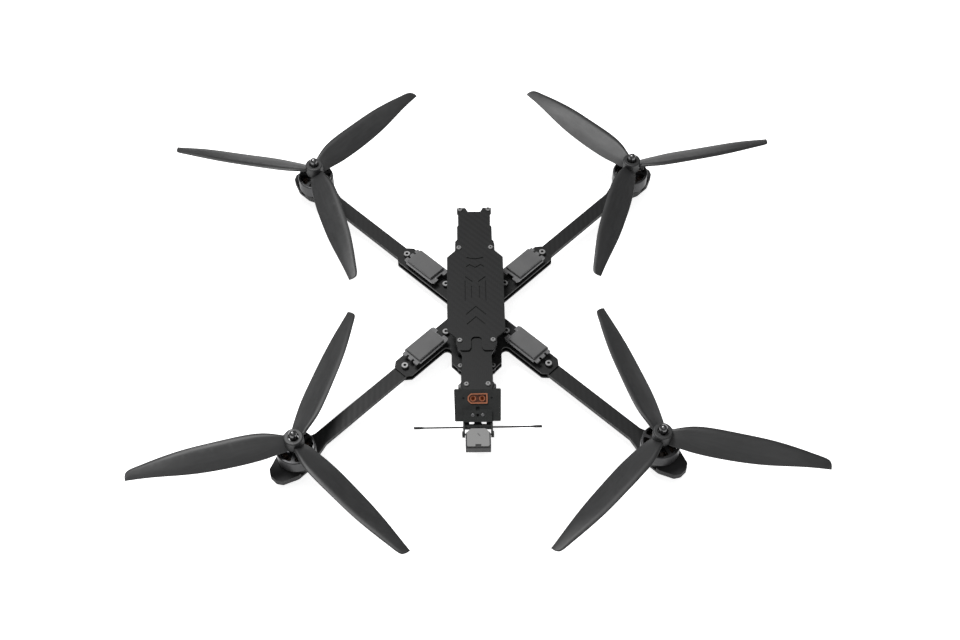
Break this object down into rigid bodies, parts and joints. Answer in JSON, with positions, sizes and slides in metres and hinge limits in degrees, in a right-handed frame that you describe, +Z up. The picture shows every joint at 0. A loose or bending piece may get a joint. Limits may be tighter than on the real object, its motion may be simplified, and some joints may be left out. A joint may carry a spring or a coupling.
{
  "type": "fpv quadcopter drone",
  "caption": "Long-range FPV quadcopter: flat carbon frame, motors on cross arms, three-bladed propellers, tilting camera and satellite receiver, rear battery socket.",
  "frame": {"origin": "on the ground that the feet stand on, under the middle of the box that holds the whole drone", "axes": "+Y forward along the fuselage, +X to the right, +Z up"},
  "size_m": [0.6824, 0.6064, 0.0712],
  "materials": {
    "carbon_plate": "satin woven carbon laminate, dark edges",
    "carbon_arm": "satin woven carbon laminate",
    "standoff": "black anodised",
    "screw_steel": "bright machined",
    "nut_steel": "zinc plated",
    "esc_board": "dark solder mask with tinned pads",
    "esc_heatsink": "fine blasted grey",
    "motor_base": "satin black anodised",
    "rotor_bell": "glossy dark grey anodised",
    "stator_steel": "laminated silicon steel, lacquered",
    "winding": "enamelled copper",
    "magnet": "nickel plated",
    "bearing_steel": "polished",
    "propeller": "satin glass-filled nylon",
    "prop_nut": "polished domed nut",
    "foot_rubber": "printed soft plastic, matte",
    "rear_mount": "printed soft plastic, matte",
    "connector_shell": "moulded orange nylon",
    "contact": "gold plated",
    "gps_case": "fine grain",
    "gps_patch": "light grey ceramic patch",
    "aerial": "flexible tube",
    "camera_case": "black anodised",
    "camera_lens": "coated glass in a black barrel",
    "circuit_board": "dark solder mask",
    "rubber_grommet": "soft moulding",
    "transmitter_case": "anodised dark",
    "capacitor": "sleeved can"
  },
  "bodies": {
    "airframe": {"bottom_plate": "carbon_plate", "arm_clamp_plate": "carbon_plate", "top_plate": "carbon_plate", "tail_plate": "carbon_plate", "arm_front_left": "carbon_arm", "arm_front_right": "carbon_arm", "arm_rear_left": "carbon_arm", "arm_rear_right": "carbon_arm", "standoffs": "standoff", "plate_spacers": "standoff", "top_screws": "screw_steel", "plate_screws": "screw_steel", "arm_bolts": "screw_steel", "arm_nuts": "nut_steel", "esc_boards": "esc_board", "esc_heatsinks": "esc_heatsink", "motor_bases": "motor_base", "stator_cores": "stator_steel", "stator_windings": "winding", "motor_bearings": "bearing_steel", "motor_screws": "screw_steel", "landing_feet": "foot_rubber", "rear_mount": "rear_mount", "battery_connector": "connector_shell", "connector_pins": "contact", "rear_screws": "screw_steel", "dipole_antenna": "aerial", "camera_side_plates": "carbon_plate", "flight_controller": "circuit_board", "power_board": "circuit_board", "stack_posts": "rubber_grommet", "video_transmitter": "transmitter_case", "receiver": "circuit_board", "capacitor": "capacitor"},
    "camera": {"camera_body": "camera_case", "camera_lens": "camera_lens", "camera_screws": "screw_steel"},
    "gps_head": {"gps_bracket": "gps_case", "gps_module": "gps_case", "gps_patch": "gps_patch"},
    "rotor_front_left": {"rotor_bell_front_left": "rotor_bell", "rotor_magnets_front_left": "magnet", "motor_shaft_front_left": "bearing_steel", "propeller_front_left": "propeller", "prop_nut_front_left": "prop_nut"},
    "rotor_front_right": {"rotor_bell_front_right": "rotor_bell", "rotor_magnets_front_right": "magnet", "motor_shaft_front_right": "bearing_steel", "propeller_front_right": "propeller", "prop_nut_front_right": "prop_nut"},
    "rotor_rear_left": {"rotor_bell_rear_left": "rotor_bell", "rotor_magnets_rear_left": "magnet", "motor_shaft_rear_left": "bearing_steel", "propeller_rear_left": "propeller", "prop_nut_rear_left": "prop_nut"},
    "rotor_rear_right": {"rotor_bell_rear_right": "rotor_bell", "rotor_magnets_rear_right": "magnet", "motor_shaft_rear_right": "bearing_steel", "propeller_rear_right": "propeller", "prop_nut_rear_right": "prop_nut"}
  },
  "joints": [
    {"name": "spin_front_left", "type": "hinge", "parent": "airframe", "child": "rotor_front_left", "pos_m": [-0.1801, 0.1801, 0.045], "axis": [0, 0, 1], "continuous": true},
    {"name": "spin_front_right", "type": "hinge", "parent": "airframe", "child": "rotor_front_right", "pos_m": [0.1801, 0.1801, 0.045], "axis": [0, 0, 1], "continuous": true},
    {"name": "spin_rear_left", "type": "hinge", "parent": "airframe", "child": "rotor_rear_left", "pos_m": [-0.1801, -0.1801, 0.045], "axis": [0, 0, 1], "continuous": true},
    {"name": "spin_rear_right", "type": "hinge", "parent": "airframe", "child": "rotor_rear_right", "pos_m": [0.1801, -0.1801, 0.045], "axis": [0, 0, 1], "continuous": true},
    {"name": "camera_tilt", "type": "hinge", "parent": "airframe", "child": "camera", "pos_m": [0, 0.107, 0.0382], "axis": [1, 0, 0], "range_deg": [-20, 40]},
    {"name": "gps_tilt", "type": "hinge", "parent": "airframe", "child": "gps_head", "pos_m": [0, -0.1595, 0.028], "axis": [1, 0, 0], "range_deg": [-25, 30]}
  ]
}
